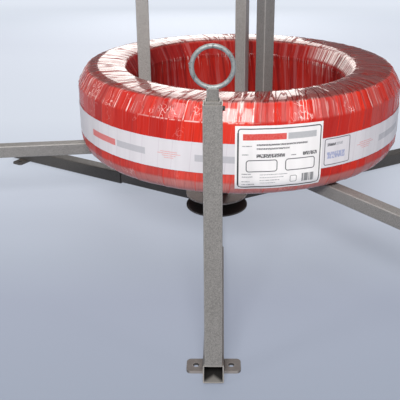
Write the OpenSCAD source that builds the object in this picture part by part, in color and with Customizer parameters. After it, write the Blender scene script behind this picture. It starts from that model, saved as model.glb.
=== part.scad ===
// Floor-standing pipe coil uncoiler. A three-legged base carries a turning carousel, which holds a
// film-wrapped coil of pipe, and a height-adjustable guide ring stands on the end of the front leg.
// Lengths are in millimetres. The origin is on the floor, on the axis of the carousel, and +Z is up.
// The front leg points along -Y. Radii and angles are measured round the carousel's axis.

/* [Tubes] */
// Width of the square tube of the carousel's arms and uprights and of the base's inner leg tubes
frame_tube_w = 25; // [20:1:30]
// Width of the square tube that carries the guide ring
stem_w = 15; // [12:1:18]
// Wall of the frame tubes
tube_wall = 2; // [1.5:0.25:2.5]
// Wall of the guide ring's stem
stem_wall = 1.5; // [1:0.25:2]
// Outer corner radius of every square tube
tube_corner = 2.5; // [2.5:0.1:3]
// Inner corner radius of every square tube
inner_corner = 0.7; // [0.3:0.1:1]

/* [Base] */
// Distance from the axis to the open end of each leg, with the legs pushed in
leg_reach = 620; // [600:5:700]
// Distance from the axis to the inner end of the sliding leg tubes
sleeve_start = 260; // [200:5:300]
// Distance from the axis to the outer end of the inner leg tubes
stub_reach = 560; // [520:5:590]
// Diameter of the round hub plates
hub_plate_d = 136; // [120:4:160]
// Thickness of the round hub plates
hub_plate_t = 3; // [2:0.5:6]
// Height of the tube column between the base and the carousel
column_h = 77.5; // [50:0.5:120]
// Outer diameter of the column
column_d = 48; // [40:1:60]
// Wall of the column
column_wall = 4; // [3:0.5:6]
// Thickness of the ring that closes the column
column_cap_t = 6; // [4:0.5:10]

/* [Foot plates] */
// Length of a foot plate, across the leg
foot_w = 80; // [70:1:110]
// Width of a foot plate, along the leg
foot_d = 30; // [24:1:40]
// Thickness of a foot plate
foot_t = 4; // [3:0.5:6]
// Corner radius of a foot plate
foot_corner = 7; // [2:0.5:10]
// Distance between the two screw holes
foot_hole_spacing = 52; // [46:1:56]
// Diameter of the screw holes
foot_hole_d = 9; // [6:0.5:10]
// Distance from the leg's end to the middle of its foot plate
foot_setback = 42; // [30:1:80]

/* [Bearings] */
// Bore of the ball bearings, and diameter of the spindle
bearing_bore = 25; // [22:1:30]
// Outer diameter of the ball bearings
bearing_od = 52; // [48:1:62]
// Width of the ball bearings
bearing_w = 15; // [12:0.5:18]
// Number of balls in each bearing
ball_count = 9; // [6:1:10]
// Diameter of the balls
ball_d = 7.94; // [6:0.02:8.5]
// Radial thickness of the bearing rings at their shoulders
race_t = 3.4; // [2.5:0.1:4]
// Thickness of the shields beside the balls
shield_t = 0.8; // [0.5:0.1:1.2]
// Radial thickness of the ball cages
cage_t = 2; // [1:0.25:2.5]
// Height of the ball cages
cage_h = 10; // [9.5:0.25:11]
// Length of the distance tube between the two bearings
spacer_h = 25; // [15:1:60]
// Wall of the bearing housing
housing_wall = 5; // [3:0.5:8]
// Radial depth of the land that keeps the bearings apart in the housing
land_depth = 3; // [2:0.25:4]
// How far the housing reaches below the lower bearing
housing_skirt = 1; // [0:0.25:2]

/* [Spindle end] */
// Diameter of the spindle's threaded end
thread_d = 20; // [16:1:21]
// Thickness of the washer under the nut
washer_t = 3; // [2:0.5:5]
// Height of the nut
nut_h = 16; // [10:1:20]
// Width of the nut across its flats
nut_af = 30; // [28:1:34]
// Length of thread that stands above the nut
thread_end = 3; // [1:0.5:8]
// Chamfer at the thread's end
thread_chamfer = 1.5; // [0.5:0.25:2]

/* [Carousel] */
// Distance from the axis to the end of each arm
arm_reach = 570; // [450:5:590]
// Height of the arms' underside above the lower bearing's seat
arm_rise = 21; // [14:1:40]
// Distance from the axis to the middle of each upright
upright_radius = 150; // [100:1:170]
// Length of an upright
upright_h = 400; // [300:5:700]
// Turn of the carousel from its square position
arm_turn = 8; // [-20:1:20]

/* [Guide] */
// Length of the guide post
post_h = 380; // [300:5:600]
// Length of the liner in the top of the post
liner_h = 60; // [40:1:100]
// How far the liner stands out of the post
liner_proud = 4; // [2:0.5:10]
// Height of the stem's lower end above the leg, with the ring pushed down
stem_rest = 39; // [15:1:120]
// How far the stem stands out of the liner
stem_proud = 15; // [14:0.5:200]
// Outer diameter of the guide ring
ring_od = 57; // [45:1:90]
// Diameter of the guide ring's rod
ring_rod_d = 6; // [4:0.5:8]
// Depth that the ring sits into the top of the stem
ring_seat = 2.5; // [1:0.5:3]

/* [Clamp screws] */
// Thread diameter of the legs' clamp screws
leg_screw_d = 6; // [5:0.5:8]
// Distance from a sleeve's inner end to its clamp screw
leg_screw_inset = 15; // [12:1:40]
// Width across flats of the clamp screws' heads and welded nuts
leg_screw_af = 10; // [10:0.5:13]
// Height of the clamp screws' heads
leg_screw_head_h = 4; // [3:0.1:6]
// Height of the welded nuts
leg_nut_h = 5; // [4:0.5:8]
// Space between the welded nut and the screw's head
leg_screw_gap = 2; // [1:0.5:12]
// Thread diameter of the post's set screw
set_screw_d = 6; // [4:0.5:8]
// Distance from the top of the post to its set screw
set_screw_drop = 7; // [6:0.5:30]
// How far the set screw stands out of the post
set_screw_proud = 3; // [1:0.5:6]
// Width across flats of the set screw's socket
socket_af = 3; // [2:0.5:3.5]
// Depth of the set screw's socket
socket_depth = 2.5; // [1:0.5:4]

/* [Coil] */
// Outer diameter of the wrapped coil
coil_outer_d = 650; // [620:5:760]
// Inner diameter of the wrapped coil
coil_inner_d = 430; // [400:5:460]
// Height of the wrapped coil
coil_h = 172; // [140:1:260]
// Radius of the coil's rounded edges
coil_corner = 45; // [25:1:50]
// Diameter of the pipe
pipe_d = 16; // [12:1:20]
// Thickness of the backing behind the middles of the outer turns
turn_backing = 6.3; // [4:0.1:7]
// Thickness of the wrapping film
film_t = 0.5; // [0.3:0.1:1.5]
// Direction in which the coil lies off the axis, in degrees
coil_lean = -28.5; // [-60:0.5:60]
// Gap between the coil's inner wall and the left upright's corner
coil_side_gap = 6; // [1:0.5:20]
// Height of the paper band round the coil
band_h = 54; // [30:1:70]
// How far the middle of the band lies below the middle of the coil
band_drop = 7; // [-10:1:15]
// Thickness of the paper band and of the labels
paper_t = 0.3; // [0.2:0.1:0.5]
// Height of the large label
label_h = 114; // [60:1:120]
// How far the middle of the large label lies below the middle of the coil
label_drop = 9; // [-5:1:15]
// Start and end of the large label round the coil, in degrees
label_span = [-92.3, -65.5];
// Height of the small label
small_label_h = 52; // [20:1:60]
// How far the middle of the small label lies below the middle of the coil
small_label_drop = 10; // [-10:1:20]
// Start and end of the small label round the coil, in degrees
small_label_span = [-64.8, -54.4];

/* [Fits] */
// Gap on each side between a square tube and the tube that slides over it
slide_gap = 0.5; // [0.3:0.05:0.8]
// Radial gap of the screws in their threads
run_gap = 0.05; // [0.02:0.01:0.1]
// Radial gap of the pieces that are fixed by weld or by force
seat_gap = 0.02; // [0:0.01:0.1]
// Gap between the balls and their grooves and pockets
ball_gap = 0.08; // [0.03:0.01:0.1]
// Gap between the layers of film and paper
paper_gap = 0.1; // [0.05:0.01:0.2]
// Gap between pieces that move past each other
free_gap = 0.3; // [0.2:0.05:0.6]
// Height of the carousel's housing above the column's ring
housing_gap = 1; // [0.5:0.25:3]

/* [Hidden] */
$fn = 96;
// Overlap of a cutting shape past the face that it cuts
cut = 1;

// Directions of the legs and of the arms
front_leg = 270;
right_leg = 30;
left_leg = 150;
left_arm = 180 + arm_turn;
right_arm = 300 + arm_turn;
back_arm = 60 + arm_turn;

// Each larger tube slides over, or is lined by, the next smaller one
leg_w = frame_tube_w + 2 * (tube_wall + slide_gap);
liner_w = stem_w + 2 * (tube_wall + slide_gap);
post_w = liner_w + 2 * (tube_wall + slide_gap);

// Heights of the base
leg_z = foot_t + leg_w / 2;
leg_top = foot_t + leg_w;
stub_top = leg_z + frame_tube_w / 2;
hub_bottom_z = stub_top - frame_tube_w - hub_plate_t;
column_z = stub_top + hub_plate_t;
column_cap_z = column_z + column_h;
spindle_r = bearing_bore / 2;

// Heights of the bearings
boss_h = housing_gap + housing_skirt;
seat_z = column_cap_z + column_cap_t + boss_h;
spacer_z = seat_z + bearing_w;
upper_bearing_z = spacer_z + spacer_h;
washer_z = upper_bearing_z + bearing_w;
nut_z = washer_z + washer_t;
spindle_top = nut_z + nut_h + thread_end;
inner_ring_r = spindle_r + race_t;
ball_track_r = (bearing_bore + bearing_od) / 4;
groove_r = ball_d / 2 + ball_gap;

// Carousel
housing_r = bearing_od / 2 + housing_wall;
housing_z = seat_z - housing_skirt;
housing_top = washer_z + washer_t;
arm_z = seat_z + arm_rise;
arm_top = arm_z + frame_tube_w;

// Guide
post_y = -(leg_reach - post_w / 2);
post_top = leg_top + post_h;
liner_top = post_top + liner_proud;
stem_top = liner_top + stem_proud;
stem_z = leg_top + stem_rest;
ring_r = (ring_od - ring_rod_d) / 2;
ring_z = stem_top - ring_seat + ring_od / 2;
set_screw_z = post_top - set_screw_drop;

// The coil is pushed off the axis until it almost touches the outer corner of the left upright
upright_corner = rotated([upright_radius + frame_tube_w / 2, -frame_tube_w / 2], left_arm);
lean = rotated([1, 0], coil_lean);
lean_reach = coil_inner_d / 2 - coil_side_gap;
corner_along = upright_corner * lean;
coil_shift = corner_along + sqrt(corner_along ^ 2 - upright_corner * upright_corner + lean_reach ^ 2);
coil_z = arm_top + free_gap;
coil_mid_z = coil_z + coil_h / 2;
coil_mid_r = (coil_outer_d + coil_inner_d) / 4;
coil_w = (coil_outer_d - coil_inner_d) / 2;
turn_inset = film_t + free_gap + pipe_d / 2;

function rotated(p, angle) =
    [p.x * cos(angle) - p.y * sin(angle), p.x * sin(angle) + p.y * cos(angle)];

module rounded_rectangle(w, d, r) {
    square([w, d - 2 * r], center = true);
    square([w - 2 * r, d], center = true);
    for (x = [-1, 1], y = [-1, 1])
        translate([x * (w / 2 - r), y * (d / 2 - r)])
            circle(r = r);
}

module tube_section(w, wall) {
    difference() {
        rounded_rectangle(w, w, tube_corner);
        rounded_rectangle(w - 2 * wall, w - 2 * wall, inner_corner);
    }
}

// A square tube that lies along a radius at the given height of its middle
module radial_tube(angle, from, to, z, w) {
    rotate([0, 0, angle])
        translate([from, 0, z])
            rotate([90, 0, 90])
                linear_extrude(to - from)
                    tube_section(w, tube_wall);
}

module standing_tube(h, w, wall) {
    linear_extrude(h)
        tube_section(w, wall);
}

module disc(d, t, hole_d) {
    difference() {
        cylinder(d = d, h = t);
        translate([0, 0, -cut])
            cylinder(d = hole_d, h = t + 2 * cut);
    }
}

module hexagon(af, h) {
    cylinder(d = af / cos(30), h = h, $fn = 6);
}

// Base hub: two round plates with the three inner leg tubes welded between them
module hub_plate(z) {
    color([0.40, 0.37, 0.35])
        translate([0, 0, z])
            disc(hub_plate_d, hub_plate_t, bearing_bore + 2 * seat_gap);
}

module stub(angle) {
    color([0.36, 0.35, 0.34])
        radial_tube(angle, spindle_r + seat_gap, stub_reach, leg_z, frame_tube_w);
}

module column() {
    color([0.42, 0.41, 0.39])
        translate([0, 0, column_z])
            disc(column_d, column_h, column_d - 2 * column_wall);
}

// The ring closes the column, holds the spindle upright and has a boss for the lower bearing
module column_cap() {
    color([0.45, 0.44, 0.42])
        translate([0, 0, column_cap_z])
            difference() {
                union() {
                    cylinder(d = column_d, h = column_cap_t);
                    cylinder(r = inner_ring_r, h = column_cap_t + boss_h);
                }
                translate([0, 0, -cut])
                    cylinder(r = spindle_r + seat_gap, h = column_cap_t + boss_h + 2 * cut);
            }
}

// The spindle stands on the floor, carries the bearings and ends in a thread with a chamfer
module spindle() {
    color([0.60, 0.60, 0.60])
        rotate_extrude()
            polygon([
                [0, 0], [spindle_r, 0], [spindle_r, washer_z], [thread_d / 2, washer_z],
                [thread_d / 2, spindle_top - thread_chamfer], [thread_d / 2 - thread_chamfer, spindle_top],
                [0, spindle_top]
            ]);
}

module spindle_washer() {
    color([0.66, 0.66, 0.67])
        translate([0, 0, washer_z])
            disc(2 * (inner_ring_r - free_gap), washer_t, thread_d + 2 * run_gap);
}

module spindle_nut() {
    color([0.62, 0.62, 0.64])
        translate([0, 0, nut_z])
            difference() {
                intersection() {
                    hexagon(nut_af, nut_h);
                    cylinder(r1 = nut_af / 2 + nut_h / tan(30), r2 = nut_af / 2, h = nut_h);
                }
                translate([0, 0, -cut])
                    cylinder(d = thread_d + 2 * seat_gap, h = nut_h + 2 * cut);
            }
}

module bearing_spacer() {
    color([0.55, 0.55, 0.56])
        translate([0, 0, spacer_z])
            disc(2 * inner_ring_r, spacer_h, bearing_bore + 2 * seat_gap);
}

// Ball bearings: each ring has a round groove for the balls, and the outer ring has two thin shields
module bearing_inner(z) {
    color([0.70, 0.70, 0.72])
        translate([0, 0, z])
            rotate_extrude()
                difference() {
                    translate([spindle_r + seat_gap, 0])
                        square([race_t - seat_gap, bearing_w]);
                    translate([ball_track_r, bearing_w / 2])
                        circle(r = groove_r);
                }
}

module bearing_outer(z) {
    color([0.68, 0.68, 0.70])
        translate([0, 0, z])
            rotate_extrude()
                difference() {
                    union() {
                        translate([bearing_od / 2 - race_t, 0])
                            square([race_t - seat_gap, bearing_w]);
                        for (y = [0, bearing_w - shield_t])
                            translate([inner_ring_r + free_gap, y])
                                square([bearing_od / 2 - race_t - inner_ring_r, shield_t]);
                    }
                    translate([ball_track_r, bearing_w / 2])
                        circle(r = groove_r);
                }
}

module bearing_balls(z) {
    color([0.80, 0.80, 0.82])
        for (i = [0 : ball_count - 1])
            rotate([0, 0, i * 360 / ball_count])
                translate([ball_track_r, 0, z + bearing_w / 2])
                    sphere(d = ball_d);
}

module bearing_cage(z) {
    color([0.72, 0.66, 0.50])
        translate([0, 0, z + bearing_w / 2])
            difference() {
                rotate_extrude()
                    translate([ball_track_r - cage_t / 2, -cage_h / 2])
                        square([cage_t, cage_h]);
                for (i = [0 : ball_count - 1])
                    rotate([0, 0, i * 360 / ball_count])
                        translate([ball_track_r, 0, 0])
                            rotate([0, 90, 0])
                                cylinder(r = groove_r, h = cage_t + 2 * cut, center = true);
            }
}

// The housing turns on both bearings, and a land inside keeps them apart
module bearing_housing() {
    land_r = bearing_od / 2 - land_depth;
    color([0.45, 0.44, 0.42])
        rotate_extrude()
            difference() {
                translate([0, housing_z])
                    square([housing_r, housing_top - housing_z]);
                translate([0, housing_z - cut])
                    square([land_r, housing_top - housing_z + 2 * cut]);
                translate([0, housing_z - cut])
                    square([bearing_od / 2, spacer_z - housing_z + cut]);
                translate([0, upper_bearing_z])
                    square([bearing_od / 2, housing_top]);
            }
}

// Carousel hub: two more round plates, welded to the housing above and below the arms
module carousel_plate(z) {
    color([0.48, 0.47, 0.45])
        translate([0, 0, z])
            disc(hub_plate_d, hub_plate_t, 2 * (housing_r + seat_gap));
}

module arm(angle) {
    color([0.56, 0.55, 0.53])
        radial_tube(angle, housing_r + seat_gap, arm_reach, arm_z + frame_tube_w / 2, frame_tube_w);
}

module upright(angle) {
    color([0.58, 0.57, 0.55])
        rotate([0, 0, angle])
            translate([upright_radius, 0, arm_top])
                standing_tube(upright_h, frame_tube_w, tube_wall);
}

// A leg tube slides over its inner tube and is drilled for its clamp screw
module leg(angle) {
    color([0.50, 0.48, 0.46])
        difference() {
            radial_tube(angle, sleeve_start, leg_reach, leg_z, leg_w);
            rotate([0, 0, angle])
                translate([sleeve_start + leg_screw_inset, 0, leg_z])
                    cylinder(r = leg_screw_d / 2 + run_gap, h = leg_w);
        }
}

module foot(angle) {
    color([0.47, 0.44, 0.42])
        rotate([0, 0, angle])
            translate([leg_reach - foot_setback, 0, 0])
                difference() {
                    linear_extrude(foot_t)
                        rounded_rectangle(foot_d, foot_w, foot_corner);
                    for (side = [-1, 1])
                        translate([0, side * foot_hole_spacing / 2, -cut])
                            cylinder(d = foot_hole_d, h = foot_t + 2 * cut);
                }
}

module leg_nut(angle) {
    color([0.45, 0.44, 0.43])
        rotate([0, 0, angle])
            translate([sleeve_start + leg_screw_inset, 0, leg_top])
                difference() {
                    hexagon(leg_screw_af, leg_nut_h);
                    translate([0, 0, -cut])
                        cylinder(r = leg_screw_d / 2 + run_gap, h = leg_nut_h + 2 * cut);
                }
}

// The clamp screw goes through the welded nut and presses on the inner leg tube
module leg_screw(angle) {
    tip_z = stub_top + free_gap;
    head_z = leg_top + leg_nut_h + leg_screw_gap;
    color([0.22, 0.22, 0.23])
        rotate([0, 0, angle])
            translate([sleeve_start + leg_screw_inset, 0, 0]) {
                translate([0, 0, tip_z])
                    cylinder(d = leg_screw_d, h = head_z - tip_z);
                translate([0, 0, head_z])
                    hexagon(leg_screw_af, leg_screw_head_h);
            }
}

// A hole for the set screw, from inside the stem's tube out through the right-hand wall
module set_screw_hole() {
    translate([0, 0, set_screw_z])
        rotate([0, 90, 0])
            cylinder(r = set_screw_d / 2 + run_gap, h = post_w);
}

module guide_post() {
    color([0.58, 0.57, 0.55])
        translate([0, post_y, 0])
            difference() {
                translate([0, 0, leg_top])
                    standing_tube(post_h, post_w, tube_wall);
                set_screw_hole();
            }
}

// The liner fills the top of the post, so that the thinner stem slides in it without play
module post_liner() {
    color([0.60, 0.59, 0.57])
        translate([0, post_y, 0])
            difference() {
                translate([0, 0, liner_top - liner_h])
                    standing_tube(liner_h, liner_w, tube_wall);
                set_screw_hole();
            }
}

module post_set_screw() {
    tip_x = stem_w / 2 + free_gap;
    end_x = post_w / 2 + set_screw_proud;
    color([0.10, 0.10, 0.11])
        translate([0, post_y, set_screw_z])
            rotate([0, 90, 0])
                difference() {
                    translate([0, 0, tip_x])
                        cylinder(d = set_screw_d, h = end_x - tip_x);
                    translate([0, 0, end_x - socket_depth])
                        hexagon(socket_af, socket_depth + cut);
                }
}

module ring_rod(extra) {
    translate([0, post_y, ring_z])
        rotate([90, 0, 0])
            rotate_extrude()
                translate([ring_r, 0])
                    circle(d = ring_rod_d + 2 * extra);
}

// The stem's end is notched to the ring's rod, which is welded into it
module guide_stem() {
    color([0.60, 0.60, 0.59])
        difference() {
            translate([0, post_y, stem_z])
                standing_tube(stem_top - stem_z, stem_w, stem_wall);
            ring_rod(seat_gap);
        }
}

module guide_ring() {
    color([0.66, 0.68, 0.68])
        ring_rod(0);
}

// Whatever belongs to the coil is drawn round the coil's own middle
module at_coil() {
    translate([coil_shift * lean.x, coil_shift * lean.y, 0])
        children();
}

// Outline of the wrapped coil's section, grown or shrunk by a margin
module coil_section(margin) {
    translate([coil_mid_r, coil_mid_z])
        rounded_rectangle(coil_w + 2 * margin, coil_h + 2 * margin, coil_corner + margin);
}

// Place of turn number i of n, counted round the outline on which the outer turns' middles lie
function turn_place(i, n) =
    let (
        r = coil_corner - turn_inset,
        flat_w = coil_w - 2 * coil_corner,
        flat_h = coil_h - 2 * coil_corner,
        arc = PI * r / 2,
        side = 2 * arc + flat_w + flat_h,
        s = (i / n * 2 * side) % side,
        flip = i / n * 2 * side < side ? 1 : -1,
        p = s < flat_h ? [flat_w / 2 + r, s - flat_h / 2]
            : s < flat_h + arc ? [flat_w / 2 + r * cos((s - flat_h) / r * 180 / PI),
                                  flat_h / 2 + r * sin((s - flat_h) / r * 180 / PI)]
            : s < flat_h + arc + flat_w ? [flat_w / 2 - (s - flat_h - arc), flat_h / 2 + r]
            : [-flat_w / 2 - r * sin((s - flat_h - arc - flat_w) / r * 180 / PI),
               flat_h / 2 + r * cos((s - flat_h - arc - flat_w) / r * 180 / PI)]
    )
    flip * p;

// The outer turns of the pipe, on a backing that follows them inside. Together they are as heavy as
// the whole coil's hollow pipe, so the space of the inner turns is left open.
module pipe_coil() {
    r = coil_corner - turn_inset;
    path = 2 * (coil_w + coil_h - 4 * coil_corner) + 2 * PI * r;
    turns = ceil(path / pipe_d);
    color([0.80, 0.22, 0.16])
        at_coil()
            rotate_extrude()
                difference() {
                    union() {
                        coil_section(-turn_inset);
                        for (i = [0 : turns - 1])
                            translate([coil_mid_r, coil_mid_z] + turn_place(i, turns))
                                circle(d = pipe_d);
                    }
                    coil_section(-turn_inset - turn_backing);
                }
}

module film_wrap() {
    color([0.82, 0.20, 0.16])
        at_coil()
            rotate_extrude()
                difference() {
                    coil_section(0);
                    coil_section(-film_t);
                }
}

// Section of a sheet of paper of height h, in the given layer on the coil's outer wall
module paper_section(drop, h, layer) {
    outer_margin = layer * (paper_t + paper_gap);
    intersection() {
        difference() {
            coil_section(outer_margin);
            coil_section(outer_margin - paper_t);
        }
        translate([coil_mid_r, coil_mid_z - drop - h / 2])
            square([coil_w, h]);
    }
}

module label_sheet(drop, h, span) {
    at_coil()
        rotate([0, 0, span[0]])
            rotate_extrude(angle = span[1] - span[0])
                paper_section(drop, h, 2);
}

module paper_band() {
    color([0.88, 0.86, 0.86])
        at_coil()
            rotate_extrude()
                paper_section(band_drop, band_h, 1);
}

module coil_label() {
    color([0.95, 0.94, 0.93])
        label_sheet(label_drop, label_h, label_span);
}

module small_label() {
    color([0.93, 0.93, 0.92])
        label_sheet(small_label_drop, small_label_h, small_label_span);
}

hub_plate(hub_bottom_z);  // hub_bottom_plate
hub_plate(stub_top);  // hub_top_plate
stub(front_leg);  // stub_front
stub(right_leg);  // stub_right
stub(left_leg);  // stub_left
column();
column_cap();
spindle();
spindle_washer();
spindle_nut();
bearing_spacer();
bearing_inner(seat_z);  // lower_bearing_inner
bearing_inner(upper_bearing_z);  // upper_bearing_inner
bearing_outer(seat_z);  // lower_bearing_outer
bearing_outer(upper_bearing_z);  // upper_bearing_outer
bearing_balls(seat_z);  // lower_bearing_balls
bearing_balls(upper_bearing_z);  // upper_bearing_balls
bearing_cage(seat_z);  // lower_bearing_cage
bearing_cage(upper_bearing_z);  // upper_bearing_cage
bearing_housing();
carousel_plate(arm_z - hub_plate_t);  // carousel_lower_plate
carousel_plate(arm_top);  // carousel_upper_plate
arm(left_arm);  // arm_left
arm(right_arm);  // arm_right
arm(back_arm);  // arm_back
upright(left_arm);  // upright_left
upright(right_arm);  // upright_right
upright(back_arm);  // upright_back
leg(front_leg);  // leg_front
leg(right_leg);  // leg_right
leg(left_leg);  // leg_left
foot(front_leg);  // foot_front
foot(right_leg);  // foot_right
foot(left_leg);  // foot_left
leg_nut(front_leg);  // leg_nut_front
leg_nut(right_leg);  // leg_nut_right
leg_nut(left_leg);  // leg_nut_left
leg_screw(front_leg);  // leg_screw_front
leg_screw(right_leg);  // leg_screw_right
leg_screw(left_leg);  // leg_screw_left
guide_post();
post_liner();
post_set_screw();
guide_stem();
guide_ring();
pipe_coil();
film_wrap();
paper_band();
coil_label();
small_label();
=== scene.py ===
"""Pipe coil uncoiler: a three-legged base, a turning carousel, a guide ring on a post and a coil."""
import math
from bisect import bisect

import bmesh
import bpy
from mathutils import Matrix, Vector, noise


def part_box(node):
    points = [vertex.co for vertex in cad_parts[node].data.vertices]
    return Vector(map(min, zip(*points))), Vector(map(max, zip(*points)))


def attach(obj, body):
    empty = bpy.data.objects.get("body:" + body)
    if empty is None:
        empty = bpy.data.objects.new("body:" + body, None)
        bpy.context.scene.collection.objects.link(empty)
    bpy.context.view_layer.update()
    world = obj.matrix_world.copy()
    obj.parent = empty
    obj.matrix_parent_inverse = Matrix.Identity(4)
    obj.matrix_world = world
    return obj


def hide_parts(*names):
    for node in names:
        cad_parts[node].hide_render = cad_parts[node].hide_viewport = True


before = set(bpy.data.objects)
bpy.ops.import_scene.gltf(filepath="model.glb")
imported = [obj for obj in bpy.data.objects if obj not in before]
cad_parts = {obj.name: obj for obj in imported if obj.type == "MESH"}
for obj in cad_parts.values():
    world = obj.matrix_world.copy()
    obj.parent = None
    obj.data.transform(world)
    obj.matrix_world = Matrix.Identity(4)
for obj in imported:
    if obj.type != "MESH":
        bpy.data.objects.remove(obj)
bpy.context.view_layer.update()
scene = bpy.context.scene


# Floor, daylight and camera
# A pale studio floor, lighter towards the back, closed by a round wall that is only seen. A white
# panel low behind the object makes the film on the coil's top shine, small ones left and right
# make its glints, and large ones in front and above give the even light.
PICTURE, SENSOR = 400, 36


def camera_at(place, yaw, pitch, roll, focal, centre):
    """A camera turned by angles in degrees. focal and centre are in pixels of a picture PICTURE wide."""
    yaw, pitch, roll = (math.radians(a) for a in (yaw, pitch, roll))
    forward = Vector((math.sin(yaw) * math.cos(pitch), math.cos(yaw) * math.cos(pitch), -math.sin(pitch)))
    right = Vector((math.cos(yaw), -math.sin(yaw), 0))
    up = right.cross(forward)
    level_right = right * math.cos(roll) + up * math.sin(roll)
    level_up = up * math.cos(roll) - right * math.sin(roll)
    turn = Matrix((level_right, level_up, -forward)).transposed()
    data = bpy.data.cameras.new("view")
    data.sensor_width = SENSOR
    data.lens = SENSOR * focal / PICTURE
    data.shift_x = (PICTURE / 2 - centre[0]) / PICTURE
    data.shift_y = (centre[1] - PICTURE / 2) / PICTURE
    camera = bpy.data.objects.new("view", data)
    camera.matrix_world = Matrix.Translation(place) @ turn.to_4x4()
    scene.collection.objects.link(camera)
    return camera


def soft_panel(name, place, target, width, height, watts, colour):
    """A lamp of that size that shines from place to target, and isn't seen itself."""
    light = bpy.data.lights.new(name, "AREA")
    light.shape = "RECTANGLE"
    light.size, light.size_y = width, height
    light.energy = watts
    light.color = colour
    panel = bpy.data.objects.new(name, light)
    aim = Vector(target) - Vector(place)
    panel.matrix_world = Matrix.Translation(place) @ aim.to_track_quat("-Z", "Y").to_matrix().to_4x4()
    panel.visible_camera = False
    scene.collection.objects.link(panel)


class Value:
    """A socket of a finish, so that what is done to it can be written as an expression."""

    def __init__(self, finish, socket):
        self.finish, self.socket = finish, socket

    def __add__(self, other):
        return self.finish.maths("ADD", self, other)

    def __sub__(self, other):
        return self.finish.maths("SUBTRACT", self, other)

    def __rsub__(self, other):
        return self.finish.maths("SUBTRACT", other, self)

    def __mul__(self, other):
        return self.finish.maths("MULTIPLY", self, other)

    def __truediv__(self, other):
        return self.finish.maths("DIVIDE", self, other)

    def __mod__(self, other):
        return self.finish.maths("FLOORED_MODULO", self, other)

    def __gt__(self, other):
        return self.finish.maths("GREATER_THAN", self, other)

    def __abs__(self):
        return self.finish.maths("ABSOLUTE", self)

    __radd__, __rmul__ = __add__, __mul__

    def step(self, low, high):
        """Rises softly from 0 at low to 1 at high."""
        return self.finish.node("MapRange", {"interpolation_type": "SMOOTHSTEP"},
                                {"Value": self, "From Min": low, "From Max": high})["Result"]

    def within(self, low, high, soft):
        """1 between low and high, and 0 outside them, with an edge as wide as soft."""
        return self.step(low - soft, low + soft) * (1 - self.step(high - soft, high + soft))


class Finish:
    """One material, built up from nodes that end in a Principled shader. fixed is the same all over."""

    def __init__(self, name, **fixed):
        self.material = bpy.data.materials.new(name)
        self.material.use_nodes = True
        self.tree = self.material.node_tree
        self.shader = self.tree.nodes["Principled BSDF"]
        for socket, value in fixed.items():
            self.shader.inputs[socket.replace("_", " ")].default_value = value

    def node(self, kind, settings, sockets):
        """Adds a node, sets it and feeds its sockets, and gives its outputs by name."""
        made = self.tree.nodes.new("ShaderNode" + kind)
        for key, value in settings.items():
            if key == "stops":
                while len(made.color_ramp.elements) < len(value):
                    made.color_ramp.elements.new(0.5)
                for stop, (place, colour) in zip(made.color_ramp.elements, value):
                    stop.position = place
                    stop.color = (*colour, 1)
            else:
                setattr(made, key, value)
        for key, value in sockets.items():
            self.feed(made.inputs[key], value)
        return {s.name: Value(self, s) for s in made.outputs if s.enabled}

    def feed(self, socket, value):
        """Links the socket to a Value, or sets it to a number, vector or colour."""
        if isinstance(value, Value):
            self.tree.links.new(value.socket, socket)
        elif isinstance(value, (tuple, list)) and len(value) == 3 and socket.type == "RGBA":
            socket.default_value = (*value, 1)
        else:
            socket.default_value = value

    def maths(self, operation, a, b=0.0):
        return self.node("Math", {"operation": operation}, {0: a, 1: b})["Value"]

    def place(self):
        """Where a point of the surface lies in the object's own frame."""
        return self.node("TexCoord", {}, {})["Object"]

    def turned(self, vector, location=(0, 0, 0), rotation=(0, 0, 0), scale=(1, 1, 1)):
        sockets = {"Vector": vector, "Location": location, "Rotation": rotation, "Scale": scale}
        return self.node("Mapping", {"vector_type": "POINT"}, sockets)["Vector"]

    def apart(self, vector, point):
        """Distance from point."""
        return self.node("VectorMath", {"operation": "DISTANCE"}, {0: vector, 1: point})["Value"]

    def parts(self, vector):
        split = self.node("SeparateXYZ", {}, {"Vector": vector})
        return split["X"], split["Y"], split["Z"]

    def joined(self, x, y, z):
        return self.node("CombineXYZ", {}, {"X": x, "Y": y, "Z": z})["Vector"]

    def noise(self, vector, scale, detail, roughness=0.5):
        return self.node("TexNoise", {}, {"Vector": vector, "Scale": scale, "Detail": detail,
                                          "Roughness": roughness})["Fac"]

    def chance(self, number):
        """A random tone from 0 to 1 for each number."""
        return self.node("TexWhiteNoise", {"noise_dimensions": "1D"}, {"W": number})["Value"]

    def coats(self, colour, *coats):
        """Lays coats over the colour, each of them a mask and a colour of its own."""
        for mask, coat in coats:
            colour = self.node("Mix", {"data_type": "RGBA"}, {0: mask, 6: colour, 7: coat})["Result"]
        return colour

    def ramp(self, value, *stops):
        return self.node("ValToRGB", {"stops": stops}, {"Fac": value})["Color"]

    def bumps(self, height, depth, strength):
        return self.node("Bump", {}, {"Height": height, "Distance": depth, "Strength": strength})["Normal"]

    def done(self, **links):
        """Links the shader's sockets and gives the material."""
        for socket, value in links.items():
            self.feed(self.shader.inputs[socket.replace("_", " ")], value)
        return self.material


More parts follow.
